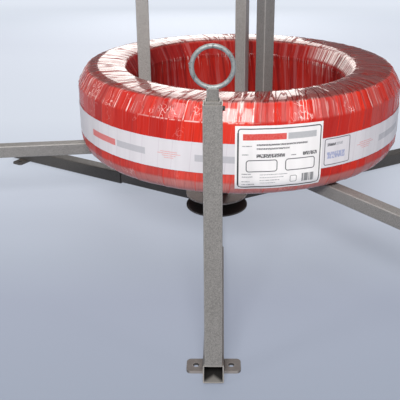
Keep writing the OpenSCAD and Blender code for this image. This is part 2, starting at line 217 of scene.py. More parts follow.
scene.camera = camera_at((0.01165, -1.43782, 0.65226), yaw=0.26, pitch=21.08, roll=0.22,
                         focal=700, centre=(225, 165))
scene.view_settings.view_transform = "Standard"
soft_panel("panel_behind", (-0.14, 2.5, 1.22), (0, 0, 0.33), 1.25, 1.75, 22, (1.0, 0.955, 0.915))
soft_panel("panel_left", (-1.75, -1.75, 2.15), (0, -0.1, 0.2), 0.45, 0.6, 12, (1.0, 1.0, 1.0))
soft_panel("panel_right", (1.75, -1.75, 1.75), (0, -0.1, 0.2), 0.4, 0.6, 5, (0.96, 0.98, 1.0))
soft_panel("panel_front", (-0.15, -3.3, 2.6), (0, 0, 0.2), 1.4, 0.9, 165, (1.0, 0.99, 0.97))
soft_panel("panel_above", (0.0, 0.3, 3.2), (0, 0.3, 0), 2.4, 2.4, 28, (1.0, 1.0, 1.0))

sky = bpy.data.worlds.new("studio")
sky.use_nodes = True
sky.node_tree.nodes["Background"].inputs["Color"].default_value = (0.84, 0.88, 0.95, 1)
sky.node_tree.nodes["Background"].inputs["Strength"].default_value = 0.18
scene.world = sky


def staged(name, shape, material):
    """Puts up a part of the studio, which isn't part of the object."""
    data = bpy.data.meshes.new(name)
    shape.to_mesh(data)
    shape.free()
    data.materials.append(material)
    made = bpy.data.objects.new(name, data)
    scene.collection.objects.link(made)
    return made


FLOOR_NEAR, FLOOR_SPAN, FLOOR_REACH = 1.0, 5.0, 9.0
floor_paint = Finish("floor", Roughness=0.85, Specular_IOR_Level=0.2, Emission_Strength=1.0)
away = (floor_paint.parts(floor_paint.place())[1] + FLOOR_NEAR) / FLOOR_SPAN
floor = bmesh.new()
bmesh.ops.create_grid(floor, x_segments=1, y_segments=1, size=FLOOR_REACH)
staged("floor", floor, floor_paint.done(
    Base_Color=floor_paint.ramp(
        away, (0.07, (0.140, 0.154, 0.182)), (0.24, (0.168, 0.182, 0.210)), (0.50, (0.252, 0.266, 0.294))),
    Emission_Color=floor_paint.ramp(
        away, (0.07, (0.176, 0.199, 0.254)), (0.12, (0.207, 0.227, 0.290)), (0.15, (0.261, 0.287, 0.342)),
        (0.21, (0.370, 0.398, 0.460)), (0.33, (0.473, 0.507, 0.564)), (0.56, (0.468, 0.502, 0.570)),
        (0.70, (0.542, 0.584, 0.654)), (0.83, (0.675, 0.717, 0.792)))))

wall_paint = Finish("backdrop", Base_Color=(0, 0, 0, 1), Specular_IOR_Level=0.0, Emission_Strength=1.0)
along_floor = (wall_paint.parts(wall_paint.place())[1] + FLOOR_REACH) / (2 * FLOOR_REACH)
wall = bmesh.new()
bmesh.ops.create_uvsphere(wall, u_segments=96, v_segments=48, radius=FLOOR_REACH - 0.1)
backdrop = staged("backdrop", wall, wall_paint.done(Emission_Color=wall_paint.ramp(
    along_floor, (0.0, (0.215, 0.235, 0.285)), (0.35, (0.290, 0.315, 0.370)), (0.75, (0.620, 0.655, 0.725)),
    (1.0, (0.740, 0.775, 0.840)))))
for light_path in ("diffuse", "glossy", "transmission", "shadow"):
    setattr(backdrop, "visible_" + light_path, False)


# Hub of the base
# Two round plates cut from 3 mm steel sheet, welded above and below the inner leg tubes, with a
# turned column and its closing ring on the upper one. All of it is sprayed with dark grey enamel.
ENAMEL, DARK_ENAMEL, BROWN_DUST = (0.225, 0.214, 0.204), (0.088, 0.081, 0.075), (0.230, 0.190, 0.165)
SAW_MARKS, LATHE_MARKS = 900, 1600


def lighter(shade, by):
    """The shade times by, which makes it darker where by is below 1."""
    return tuple(min(1.0, c * by) for c in shade)


def wear(node, material):
    """Gives a CAD node its finish."""
    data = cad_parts[node].data
    data.materials.clear()
    data.materials.append(material)


def round_paint(name, shade, outer, marks=SAW_MARKS):
    """Paint over the cutter's marks on a round part about the z axis, rubbed thin on its rim at outer."""
    paint = Finish(name, Metallic=0.2, Specular_IOR_Level=0.5)
    here = paint.place()
    x, y, z = paint.parts(here)
    from_axis = paint.apart(paint.joined(x, y, 0.0), (0, 0, 0))
    mottle = paint.noise(here, 60, 4.0, 0.6)
    flakes = paint.noise(here, 900, 2.0)
    dust = paint.noise(here, 17, 3.0)
    lines = paint.noise(paint.joined(x * 0.5, y * 0.5, z * 4), marks, 1.0)
    rim = from_axis.step(outer - 0.0016, outer - 0.0002) * paint.noise(here, 160, 3.0).step(0.42, 0.62)
    colour = paint.coats(shade, (mottle.step(0.30, 0.72) * 0.5, lighter(shade, 0.70)),
                         (flakes.step(0.55, 0.75) * 0.35, lighter(shade, 1.6)),
                         (dust.step(0.45, 0.75) * 0.35, BROWN_DUST),
                         (rim * 0.6, lighter(shade, 2.0)))
    height = mottle * 1.2 + flakes * 0.3 + lines * 0.5
    return paint.done(Base_Color=colour, Roughness=0.46 + mottle * 0.2,
                      Normal=paint.bumps(height, 0.00025, 0.7))


hub_radius, column_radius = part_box("hub_top_plate")[1][0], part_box("column")[1][0]
# Upper plate painted lighter (painted light) and lower darker (painted shade), from one enamel.
wear("hub_top_plate", round_paint("hub_upper_paint_lit", lighter(DARK_ENAMEL, 3.2), hub_radius))
wear("hub_bottom_plate", round_paint("hub_lower_paint_shaded", lighter(DARK_ENAMEL, 1.2), hub_radius))
wear("column", round_paint("column_paint", DARK_ENAMEL, column_radius, LATHE_MARKS))
wear("column_cap", round_paint("column_cap_paint", DARK_ENAMEL, column_radius, LATHE_MARKS))


# Square tubes of the base, the carousel and the post
# Welded square steel tubes, 30, 25, 20 and 15 mm wide, sprayed with one coat of enamel that has
# fine metal flakes in it. The paint is thin on the arrises, which also carry a painted highlight,
# and it shows the mill scale's mottling.
LEG_WIDE, TUBE_WIDE, LINER_WIDE, STEM_WIDE = 0.030, 0.025, 0.020, 0.015
TUBE_WALL, STEM_WALL = 0.0020, 0.0015
INSIDE_SHADE, MOUTH_LIGHT, SAWN_STEEL = (0.006, 0.005, 0.005), (0.250, 0.236, 0.222), (0.350, 0.325, 0.298)
NO_END = 9.0


def tube_paint(name, shade, angle, middle, width=TUBE_WIDE, upright=False, end=NO_END, wall=TUBE_WALL):
    """Paint for a tube that lies along angle with middle on its centre line, and is open at end.

    It is painted in shade inside, with painted light at its mouth, and its sawn end is worn to steel.
    """
    paint = Finish(name, Metallic=0.18, Specular_IOR_Level=0.5)
    here = paint.place()
    along = paint.turned(paint.turned(here, location=(-middle[0], -middle[1], -middle[2])),
                         rotation=(0, 0, -math.radians(angle)))
    x, y, z = paint.parts(along)
    if upright:
        x, z = z, x
    side = paint.maths("MINIMUM", abs(y), abs(z))
    arris = side.step(width / 2 - 0.0019, width / 2 - 0.0007)
    grit = paint.noise(here, 720, 2.0, 0.7)
    mottle = paint.noise(here, 46, 4.0, 0.6)
    broad = paint.noise(paint.joined(x * 0.25, y, z), 14, 2.0)
    chips = paint.noise(here, 210, 3.0, 0.65)
    drawn = paint.noise(paint.joined(x * 0.03, y, z), 900, 2.0)
    # Arrises painted lighter: thin, worn paint and partly a painted highlight.
    rubbed_and_highlit = arris * (chips.step(0.40, 0.58) * 0.5 + 0.5)
    inside = width / 2 - wall
    # Inner walls painted near black as painted shade; a painted patch of light at the mouth.
    shaded_inside = 1 - paint.maths("MAXIMUM", abs(y), abs(z)).step(inside + 0.0001, inside + 0.0005)
    mouth = (x - abs(y) * 1.1).step(end - 0.021, end - 0.010)
    mouth = mouth * (0 - z).step(inside - 0.0020, inside - 0.0004)
    sawn = x.step(end - 0.0007, end - 0.0002) * (1 - shaded_inside * 0.6)
    colour = paint.coats(shade, (mottle.step(0.30, 0.70) * 0.55, lighter(shade, 0.80)),
                         (broad.step(0.42, 0.66) * 0.35, lighter(shade, 1.18)),
                         (grit.step(0.50, 0.64) * 0.50, lighter(shade, 1.60)),
                         ((1 - grit.step(0.36, 0.47)) * 0.50, lighter(shade, 0.50)),
                         (rubbed_and_highlit * 0.62, lighter(shade, 1.9)),
                         (shaded_inside * 0.96, INSIDE_SHADE),
                         (shaded_inside * mouth * 0.9, MOUTH_LIGHT),
                         (sawn * (0.55 + mottle * 0.5), SAWN_STEEL))
    gloss = 0.42 + mottle * 0.16 - rubbed_and_highlit * 0.08 + shaded_inside * 0.50
    height = grit * 0.8 + mottle * 1.3 + chips * 0.3 + drawn * 0.3
    return paint.done(Base_Color=colour, Roughness=gloss, Normal=paint.bumps(height, 0.00026, 0.75))


def out_along(angle, reach, aside, height):
    """The point at reach from the spindle in the direction of angle, and aside to the left of that."""
    c, s = math.cos(math.radians(angle)), math.sin(math.radians(angle))
    return Vector((c * reach - s * aside, s * reach + c * aside, height))


LEG_ANGLES = (("front", 270), ("right", 30), ("left", 150))
ARM_ANGLES = (("left", 188), ("right", 308), ("back", 68))
UPRIGHT_REACH, ARM_END, LEG_END = 0.150, 0.570, -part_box("leg_front")[0][1]
UPRIGHT_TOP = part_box("upright_back")[1][2]
arm_low, arm_high = (corner[2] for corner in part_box("arm_left"))
leg_low, leg_high = (corner[2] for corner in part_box("leg_left"))
arm_middle, leg_middle = (0, 0, (arm_low + arm_high) / 2), (0, 0, (leg_low + leg_high) / 2)
for side, angle in LEG_ANGLES:
    # Front leg painted lighter and rear legs darker than one enamel: painted light and shade.
    shade = lighter(DARK_ENAMEL, 1.9 if side == "front" else 0.72)
    wear("leg_" + side, tube_paint("leg_paint_" + side, shade, angle, leg_middle, LEG_WIDE, end=LEG_END))
    wear("stub_" + side, tube_paint("inner_leg_paint_" + side, DARK_ENAMEL, angle, leg_middle))
for side, angle in ARM_ANGLES:
    wear("arm_" + side, tube_paint("arm_paint_" + side, ENAMEL, angle, arm_middle, end=ARM_END))
    # Left and back uprights painted lighter, right one darker: painted light and painted shade.
    shade = lighter(ENAMEL, {"left": 1.38, "right": 0.85, "back": 1.25}[side])
    wear("upright_" + side, tube_paint("upright_paint_" + side, shade, angle,
                                       out_along(angle, UPRIGHT_REACH, 0, 0),
                                       upright=True, end=UPRIGHT_TOP))
post_back, post_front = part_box("guide_post")[1][1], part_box("guide_post")[0][1]
POST_REACH = -(post_back + post_front) / 2
POST_ENAMEL = (0.215, 0.202, 0.188)
for node, shade, width, wall in (
        ("guide_post", POST_ENAMEL, TUBE_WIDE, TUBE_WALL),
        ("post_liner", POST_ENAMEL, LINER_WIDE, TUBE_WALL),
        ("guide_stem", lighter(POST_ENAMEL, 0.86), STEM_WIDE, STEM_WALL)):
    wear(node, tube_paint(node + "_paint", shade, 0, (0, -POST_REACH, 0), width, upright=True,
                          end=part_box(node)[1][2], wall=wall))


# Foot plates
# Flat bar, 30 by 4 mm, sawn to length with its corners ground round and two holes drilled for
# screws. The legs' enamel covers them; it is rubbed off round the holes and on the outer edge,
# which also carries a painted highlight, and the bores are painted dark as painted shade.
FOOT_ENAMEL = (0.150, 0.136, 0.128)
FOOT_REACH, FOOT_HALF, HOLE_ASIDE, HOLE_RADIUS = 0.578, 0.015, 0.026, 0.0045


def foot_paint(name, angle, shade):
    """Paint for the plate under the end of the leg that points along angle."""
    paint = Finish(name, Metallic=0.2, Specular_IOR_Level=0.5)
    here = paint.place()
    grit = paint.noise(here, 800, 2.0, 0.7)
    mottle = paint.noise(here, 120, 4.0, 0.65)
    scratch = paint.noise(paint.turned(here, rotation=(0, 0, 0.5), scale=(1, 14, 1)), 60, 3.0)
    x, y, _ = paint.parts(here)
    colour = paint.coats(shade, (mottle.step(0.30, 0.72) * 0.55, lighter(shade, 0.74)),
                         (grit.step(0.50, 0.70) * 0.40, lighter(shade, 1.5)),
                         (scratch.step(0.60, 0.74) * 0.30, lighter(shade, 1.7)))
    for side in (-1, 1):
        hole = out_along(angle, FOOT_REACH, side * HOLE_ASIDE, 0)
        from_hole = paint.apart(paint.joined(x, y, 0.0), hole)
        rim = 1 - from_hole.step(HOLE_RADIUS + 0.0001, HOLE_RADIUS + 0.0021)
        # The bore of each hole is painted dark: painted shade.
        shaded_bore = 1 - from_hole.step(HOLE_RADIUS, HOLE_RADIUS + 0.0003)
        colour = paint.coats(colour, (rim * mottle.step(0.35, 0.6) * 0.6, lighter(shade, 1.9)),
                             (shaded_bore * 0.8, (0.020, 0.018, 0.017)))
    reach = paint.parts(paint.turned(here, rotation=(0, 0, -math.radians(angle))))[0]
    # Outer edge painted lighter: worn paint and partly a painted highlight.
    lip_wear_and_highlight = reach.step(FOOT_REACH + FOOT_HALF - 0.0012, FOOT_REACH + FOOT_HALF)
    colour = paint.coats(colour, (lip_wear_and_highlight * 0.7, lighter(shade, 2.1)))
    return paint.done(Base_Color=colour, Roughness=0.45 + mottle * 0.2,
                      Normal=paint.bumps(grit * 0.6 + mottle * 1.4, 0.00028, 0.8))


for side, angle in LEG_ANGLES:
    # Rear foot plates painted darker than the front one: painted shade.
    wear("foot_" + side, foot_paint("foot_paint_" + side, angle,
                                    lighter(FOOT_ENAMEL, 1.0 if side == "front" else 0.55)))


# Weld beads
# MIG welds, laid by hand in short ripples along each seam and sprayed over with the tubes' enamel.
# Their heat leaves the paint a little darker and browner.
RIPPLE, BEAD_SIDES = 0.0024, 8
HUB_BEAD, FOOT_BEAD, POST_BEAD = 0.0021, 0.0015, 0.0020
BESIDE_TUBE, BESIDE_LEG = TUBE_WIDE / 2 + 0.0002, LEG_WIDE / 2 + 0.0002
TUBE_SEAM_HALF, POST_SEAM_HALF, NUT_SEAM = 0.0115, 0.0120, 0.0056


def finished(name, mesh, material, body):
    """Makes the bmesh a piece that moves with body, and gives it the material."""
    data = bpy.data.meshes.new(name)
    mesh.to_mesh(data)
    mesh.free()
    for face in data.polygons:
        face.use_smooth = True
    data.set_sharp_from_angle(angle=math.radians(55))
    data.materials.append(material)
    piece = bpy.data.objects.new(name, data)
    scene.collection.objects.link(piece)
    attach(piece, body)
    return piece


def seam(a, b):
    """A straight seam: its length, whether it is closed, and the point at a share of it."""
    return (b - a).length, False, lambda share: a.lerp(b, share)


def ring_seam(radius, height, centre=(0, 0)):
    """A seam round an upright part, told in the same way."""
    middle, spoke = Vector((*centre, height)), Vector((radius, 0, 0))
    return math.tau * radius, True, lambda share: middle + Matrix.Rotation(share * math.tau, 3, "Z") @ spoke


def lay_bead(mesh, run, size):
    """Adds a bead of that radius along the seam: a grid rolled into a tube of ripples with tapered ends."""
    length, closed, at = run
    ripples = max(2, round(length / RIPPLE))
    bead = bmesh.ops.create_grid(mesh, x_segments=ripples * 3, y_segments=BEAD_SIDES, size=0.5)["verts"]
    for v in bead:
        share, turn = v.co.x + 0.5, (v.co.y + 0.5) * math.tau
        way = (at(min(1.0, share + 0.001)) - at(max(0.0, share - 0.001))).normalized()
        rise = Vector((0, 0, 1)) if abs(way.z) < 0.9 else Vector((1, 0, 0))
        aside = way.cross(rise).normalized()
        taper = 1.0 if closed else math.sqrt(max(0.0, 1 - abs(2 * share - 1) ** 10))
        ripple = 0.80 + 0.24 * abs(math.sin(math.pi * share * ripples))
        radius = size * taper * ripple * (1 + 0.14 * noise.noise(at(share) * 140))
        v.co = at(share) + (aside * math.cos(turn) + way.cross(aside) * math.sin(turn)) * radius
    bmesh.ops.remove_doubles(mesh, verts=bead, dist=1e-6)


def weld_paint(name, shade):
    paint = Finish(name, Metallic=0.3, Specular_IOR_Level=0.55)
    here = paint.place()
    scale = paint.noise(here, 320, 3.0, 0.6)
    tint = paint.noise(here, 70, 2.0)
    colour = paint.coats(shade, (tint.step(0.35, 0.65) * 0.55, (0.120, 0.078, 0.055)),
                         (scale.step(0.55, 0.70) * 0.4, lighter(shade, 1.7)))
    return paint.done(Base_Color=colour, Roughness=0.38 + scale * 0.25,
                      Normal=paint.bumps(scale, 0.0003, 0.6))


def weld(name, seams, size, material, body):
    """Makes one piece of the beads along those seams."""
    beads = bmesh.new()
    for run in seams:
        lay_bead(beads, run, size)
    bmesh.ops.recalc_face_normals(beads, faces=beads.faces[:])
    finished(name, beads, material, body)


def across_tube(angle, reach, height):
    """A seam across the flat of the tube that points along angle."""
    return seam(*(out_along(angle, reach, aside, height) for aside in (-TUBE_SEAM_HALF, TUBE_SEAM_HALF)))


dark_weld = weld_paint("dark_weld", lighter(DARK_ENAMEL, 0.9))
grey_weld = weld_paint("grey_weld", lighter(ENAMEL, 0.62))
plate_reach = math.sqrt(hub_radius ** 2 - (TUBE_WIDE / 2) ** 2) + 0.0004
hub_under, hub_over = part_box("hub_bottom_plate")[1][2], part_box("hub_top_plate")[0][2]
hub_seams = [across_tube(a, plate_reach, z) for _, a in LEG_ANGLES for z in (hub_under, hub_over)]
hub_seams += [ring_seam(column_radius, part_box("column")[0][2]),
              ring_seam(column_radius - 0.0002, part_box("column_cap")[0][2])]
weld("hub_welds", hub_seams, HUB_BEAD, dark_weld, "base")
carousel_seams = [across_tube(a, plate_reach, z) for _, a in ARM_ANGLES for z in (arm_low, arm_high)]
carousel_seams += [across_tube(a, UPRIGHT_REACH + side * BESIDE_TUBE, arm_high)
                   for _, a in ARM_ANGLES for side in (-1, 1)]
housing_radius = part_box("bearing_housing")[1][0]
carousel_seams += [ring_seam(housing_radius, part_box("carousel_lower_plate")[0][2]),
                   ring_seam(housing_radius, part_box("carousel_upper_plate")[1][2])]
weld("carousel_welds", carousel_seams, HUB_BEAD, grey_weld, "carousel")
foot_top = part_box("foot_front")[1][2]
foot_seam = [FOOT_REACH + side * (FOOT_HALF - 0.0015) for side in (-1, 1)]
nut_low, nut_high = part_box("leg_nut_front")
NUT_REACH = -(nut_low[1] + nut_high[1]) / 2
for side, angle in LEG_ANGLES:
    seams = [seam(*(out_along(angle, reach, lean * BESIDE_LEG, foot_top) for reach in foot_seam))
             for lean in (-1, 1)]
    nut = out_along(angle, NUT_REACH, 0, 0)
    seams.append(ring_seam(NUT_SEAM, leg_high, (nut.x, nut.y)))
    weld("foot_welds_" + side, seams, FOOT_BEAD, dark_weld, side + "_leg")
post_seams = [seam(*(Vector((lean * BESIDE_TUBE, y, leg_high)) for y in (post_back, post_front + 0.0006)))
              for lean in (-1, 1)]
post_seams.append(seam(*(Vector((x, post_back + 0.0003, leg_high))
                         for x in (-POST_SEAM_HALF, POST_SEAM_HALF))))
weld("post_welds", post_seams, POST_BEAD, grey_weld, "front_leg")


# Spindle and ball bearings
# A ground steel spindle with a threaded end carries two open ball bearings, with pressed cages and
# a distance tube between them, under a zinc-plated washer and nut. The turned housing that runs on
# them is enamelled, as are the two round plates that are welded to it.
def steel(name, shade, rough, marks=0.4, tint=(0.25, 0.17, 0.11), stain=0.25):
    """Bare or plated steel, turned about the z axis."""
    metal = Finish(name, Metallic=1.0)
    here = metal.place()
    x, y, z = metal.parts(here)
    lathe = metal.noise(metal.joined(x * 0.2, y * 0.2, z), 2600, 2.0)
    cloud = metal.noise(here, 90, 4.0, 0.6)
    spots = metal.noise(here, 420, 3.0, 0.6)
    colour = metal.coats(shade, (cloud.step(0.35, 0.70) * 0.5, lighter(shade, 0.72)),
                         (spots.step(0.58, 0.72) * stain, tint))
    return metal.done(Base_Color=colour, Roughness=rough + cloud * 0.14 + spots * 0.06,
                      Normal=metal.bumps(lathe * marks + cloud * 0.4, 0.00008, 0.8))


ground_steel = steel("ground_steel", (0.56, 0.55, 0.53), 0.18)
bearing_steel = steel("bearing_steel", (0.66, 0.66, 0.66), 0.10, 0.2, stain=0.08)
zinc_plate = steel("zinc_plate", (0.60, 0.61, 0.60), 0.26, 0.5, (0.42, 0.36, 0.22), 0.35)
pressed_steel = steel("pressed_steel", (0.44, 0.40, 0.34), 0.30, 0.1)
wear("spindle", ground_steel)
wear("bearing_spacer", ground_steel)
for level in ("lower", "upper"):
    for piece in ("inner", "outer", "balls"):
        wear(f"{level}_bearing_{piece}", bearing_steel)
    wear(f"{level}_bearing_cage", pressed_steel)
wear("spindle_washer", zinc_plate)
wear("spindle_nut", zinc_plate)
wear("bearing_housing", round_paint("housing_paint", ENAMEL, housing_radius, LATHE_MARKS))
# The lower plate is painted darker than the upper one: painted shade.
for level, shade in (("lower", 0.85), ("upper", 1.0)):
    wear(f"carousel_{level}_plate",
         round_paint(f"carousel_{level}_paint", lighter(ENAMEL, shade), hub_radius))


# Clamp screws
# Zinc-plated M6 hexagon screws in nuts that are welded on the legs, and a black socket screw in
# the top of the post that holds the stem.
black_oxide = steel("black_oxide", (0.030, 0.029, 0.030), 0.34, 0.3, (0.09, 0.05, 0.03), 0.2)
for side, _ in LEG_ANGLES:
    wear("leg_screw_" + side, zinc_plate)
    wear("leg_nut_" + side, zinc_plate)
wear("post_set_screw", black_oxide)


# Guide ring
# 6 mm rod bent round into a ring, closed by a butt weld and welded in the notch at the stem's
# top. It is hot-dip galvanised, so it is bluish and spangled, with dark specks and a burr.
def galvanised():
    zinc = Finish("galvanised_rod", Metallic=0.45, Specular_IOR_Level=0.5)
    here = zinc.place()
    spangle = zinc.node("TexVoronoi", {"feature": "F1"}, {"Vector": here, "Scale": 260})["Color"]
    tone = zinc.parts(spangle)[0]
    cloud = zinc.noise(here, 130, 3.0, 0.6)
    specks = zinc.noise(here, 420, 2.0, 0.6)
    x, y, z = zinc.parts(here)
    scar = zinc.noise(zinc.joined(x, y, z * 0.35), 240, 2.0).step(0.63, 0.70)
    colour = zinc.coats((0.285, 0.302, 0.300), (tone * 0.4, (0.395, 0.412, 0.406)),
                        (cloud.step(0.38, 0.68) * 0.45, (0.19, 0.21, 0.21)),
                        (specks.step(0.60, 0.68) * 0.7, (0.09, 0.09, 0.09)),
                        (scar * 0.6, (0.060, 0.055, 0.050)))
    return zinc.done(Base_Color=colour, Roughness=0.40 + cloud * 0.2,
                     Normal=zinc.bumps(cloud * 1.2 + specks * 0.8 + tone * 0.2, 0.0004, 0.8))


ring_zinc = galvanised()
wear("guide_ring", ring_zinc)
ring_low, ring_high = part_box("guide_ring")
stem_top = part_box("guide_stem")[1][2]
ROD, RING_BEAD, RING_SEAM_HALF = ring_high[1] - ring_low[1], 0.0016, 0.0062
BURR, BURR_TURN = 0.0011, math.radians(172)
ring_welds = bmesh.new()
for side in (-1, 1):
    face = -POST_REACH + side * ROD * 0.52
    ends = [Vector((x, face, stem_top + 0.0002)) for x in (-RING_SEAM_HALF, RING_SEAM_HALF)]
    lay_bead(ring_welds, seam(*ends), RING_BEAD)
burr = Vector((math.cos(BURR_TURN), 0, math.sin(BURR_TURN))) * (ring_high[0] + 0.0001)
burr += Vector((0, -POST_REACH, (ring_low[2] + ring_high[2]) / 2))
bmesh.ops.create_icosphere(ring_welds, subdivisions=2, radius=BURR, matrix=Matrix.Translation(burr))
bmesh.ops.recalc_face_normals(ring_welds, faces=ring_welds.faces[:])
finished("ring_welds", ring_welds, ring_zinc, "guide")


# Coil of pipe
# A hundred metres of white plastic pipe, 16 mm across and extruded in one length, wound into a
# ring and packed tight. The film round it hides all of it.
coil_low, coil_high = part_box("film_wrap")
COIL_X, COIL_Y = (coil_low[0] + coil_high[0]) / 2, (coil_low[1] + coil_high[1]) / 2


def pipe_plastic():
    plastic = Finish("white_pipe", Roughness=0.38, Specular_IOR_Level=0.45)
    here = plastic.place()
    x, y, z = plastic.parts(here)
    from_axis = plastic.apart(plastic.joined(x, y, 0.0), (COIL_X, COIL_Y, 0))
    drawn = plastic.noise(plastic.joined(from_axis, z, 0.0), 900, 2.0)
    haze = plastic.noise(here, 24, 3.0)
    colour = plastic.coats((0.80, 0.79, 0.76), (haze.step(0.35, 0.7) * 0.5, (0.70, 0.69, 0.66)))
    return plastic.done(Base_Color=colour, Normal=plastic.bumps(drawn, 0.0001, 0.5))


wear("pipe_coil", pipe_plastic())


# Wrapping film
# Clear red stretch film, wound round the ring's section in a spiral of overlapping strips. It is
# drawn tight from pipe to pipe, so it lies in flats on the walls, creases at the shoulders and
# wrinkles on its way over them.
COIL_OUT, COIL_IN, OUTER_PART = 0.3254, 0.2148, 0.2900
COIL_BOTTOM, COIL_TOP = coil_low[2], coil_high[2]
SHOULDER, EDGE_IN, EDGE_DROP, FLAT_IN, FILM_START = 0.0340, 0.0178, 0.0032, 0.0380, 0.2700
SECTORS, PLEATS, FILM_STEP = 90, 10, 0.0062
# Number of strips round the coil, and where the two hems lie across each of them.
STRIPS, HEMS = 34, (0.012, 0.430)
# The folds lean round the coil, in radians for a metre of run, and have their true width at a reach.
GRAIN_LEAN, GRAIN_REACH = 0.33, 0.3
# Reach from the coil's middle, height and rounding of each corner of the drawn film's section.
FILM_CORNERS = (
    (FILM_START, COIL_BOTTOM, 0), (COIL_OUT - 0.0330, COIL_BOTTOM, 0.006),
    (COIL_OUT - 0.0110, COIL_BOTTOM + 0.0105, 0.010), (COIL_OUT, COIL_BOTTOM + SHOULDER, 0.006),
    (COIL_OUT, COIL_TOP - SHOULDER, 0.003), (COIL_OUT - EDGE_IN, COIL_TOP - EDGE_DROP, 0.0045),
    (COIL_OUT - FLAT_IN, COIL_TOP, 0.004), (COIL_IN + FLAT_IN, COIL_TOP, 0.004),
    (COIL_IN + EDGE_IN, COIL_TOP - EDGE_DROP, 0.0045), (COIL_IN, COIL_TOP - SHOULDER, 0.003),
    (COIL_IN, COIL_BOTTOM + SHOULDER, 0.010), (COIL_IN + 0.0110, COIL_BOTTOM + 0.0105, 0.010),
    (COIL_IN + 0.0330, COIL_BOTTOM, 0.006),
)


def strip_part(azimuth, run):
    """How far across its strip that place on the film lies, from 0 at one edge to 1 at the next."""
    return (azimuth / math.tau * STRIPS - run / film_girth) % 1.0


def flat(azimuth, run, reach):
    """How far the film, drawn straight between two strip edges, lies inside the round of that reach."""
    part = strip_part(azimuth, run)
    low, high = HEMS if HEMS[0] <= part < HEMS[1] else (HEMS[1], HEMS[0] + 1)
    if part < HEMS[0]:
        part += 1
    share = (part - low) / (high - low)
    wide = (high - low) / STRIPS * math.tau
    return reach * wide ** 2 * share * (1 - share) / 2


def wrinkle(around, along, length, reach, sharp):
    """Sharp-crested fold, length long and reach wide, 0 in its valleys and 1 on its crests."""
    here = noise.noise(Vector((around[0] / reach, around[1] / reach, along / length)))
    return max(0.0, 1 - abs(here) * sharp) ** 2


def film_height(azimuth, run, tilt, outside):
    """How far the film stands off its drawn section. tilt is the section's slope there in degrees."""
    slanted = azimuth - run * GRAIN_LEAN
    around = (math.cos(slanted) * GRAIN_REACH, math.sin(slanted) * GRAIN_REACH)
    part = strip_part(azimuth, run)
    on_shoulder = math.exp(-((abs(tilt) - 34) / 20) ** 2)
    on_top = 1.0 if tilt > 62 else 0.0
    on_wall = max(0.0, 1 - abs(tilt) / 12)
    patch = 0.5 + 0.9 * noise.noise(Vector((around[0] / 0.05, around[1] / 0.05, run / 0.12 + 7)))
    folds = (wrinkle(around, run, 0.300, 0.0110, 3.2) * 0.00045
             + wrinkle(around, run + 3, 0.200, 0.0065, 3.0) * 0.00025)
    share = 0.10 + 0.95 * on_shoulder + 0.10 * on_top + (0.0 if outside else 0.35 * on_wall)
    sag = noise.noise(Vector((around[0] / 0.03, around[1] / 0.03, run / 0.09 + 3))) * 0.0005
    sag *= 1 - 0.7 * on_top
    hem = sum(math.exp(-((part - at) / 0.015) ** 2) * high for at, high in zip(HEMS, (0.00045, 0.00030)))
    height = folds * share * max(0.15, patch) + sag * (1 - on_wall) + hem * (0.35 + on_shoulder)
    height -= part * 0.00035
    if tilt < -55:
        height = min(height, 0.0)
    if on_wall and outside:
        height = min(height - 0.0004, -0.00005)
    return height


film = bmesh.new()
bend = film.verts.layers.float_vector.new("bend")
reach = film.verts.layers.float.new("reach")
corners = [film.verts.new((COIL_X + r, COIL_Y, z)) for r, z, rounding in FILM_CORNERS]
film.faces.new(corners)
for wanted in sorted({rounding for r, z, rounding in FILM_CORNERS if rounding}):
    picked = [v for v, corner in zip(corners, FILM_CORNERS) if corner[2] == wanted]
    bmesh.ops.bevel(film, geom=picked, offset=wanted, offset_type="OFFSET", segments=4, profile=0.5,
                    affect="VERTICES", material=-1, clamp_overlap=False)
bmesh.ops.delete(film, geom=film.faces[:], context="FACES_ONLY")
for edge in film.edges[:]:
    cuts = round(edge.calc_length() / FILM_STEP) - 1
    if cuts > 0:
        bmesh.ops.subdivide_edges(film, edges=[edge], cuts=cuts)
first = min(film.verts, key=lambda v: (v.co.z, abs(v.co.x - COIL_X - FILM_START)))
walk = [first, max((e.other_vert(first) for e in first.link_edges), key=lambda v: v.co.x)]
while len(walk) < len(film.verts):
    before, here = walk[-2:]
    walk.append(next(e.other_vert(here) for e in here.link_edges if e.other_vert(here) != before))
film_girth = sum((b.co - a.co).length for a, b in zip(walk, walk[1:] + walk[:1]))
section, run = [], 0.0
for before, v, after in zip(walk[-1:] + walk[:-1], walk, walk[1:] + walk[:1]):
    way = (after.co - before.co).normalized()
    v[bend] = (run, way.z, -way.x)
    v[reach] = v.co.x - COIL_X
    section.append((run, Vector((v.co.x - COIL_X, v.co.z)), Vector((way.z, -way.x))))
    run += (after.co - v.co).length
bmesh.ops.spin(film, geom=film.verts[:] + film.edges[:], cent=(COIL_X, COIL_Y, 0), axis=(0, 0, 1),
               angle=math.tau, steps=SECTORS, use_merge=True, use_duplicate=False)
bmesh.ops.recalc_face_normals(film, faces=film.faces[:])
hoops = [e for e in film.edges if abs(e.verts[0][bend][0] - e.verts[1][bend][0]) < 1e-7]
bmesh.ops.subdivide_edges(film, edges=hoops, cuts=PLEATS - 1, use_grid_fill=True)
wrap = film.loops.layers.uv.new("wrap")
spread = film.verts.layers.float_vector.new("spread")
for v in film.verts:
    azimuth = math.atan2(v.co.y - COIL_Y, v.co.x - COIL_X)
    v[spread] = (math.cos(azimuth), math.sin(azimuth), 0.0)
    v.co.x = COIL_X + v[reach] * math.cos(azimuth)
    v.co.y = COIL_Y + v[reach] * math.sin(azimuth)
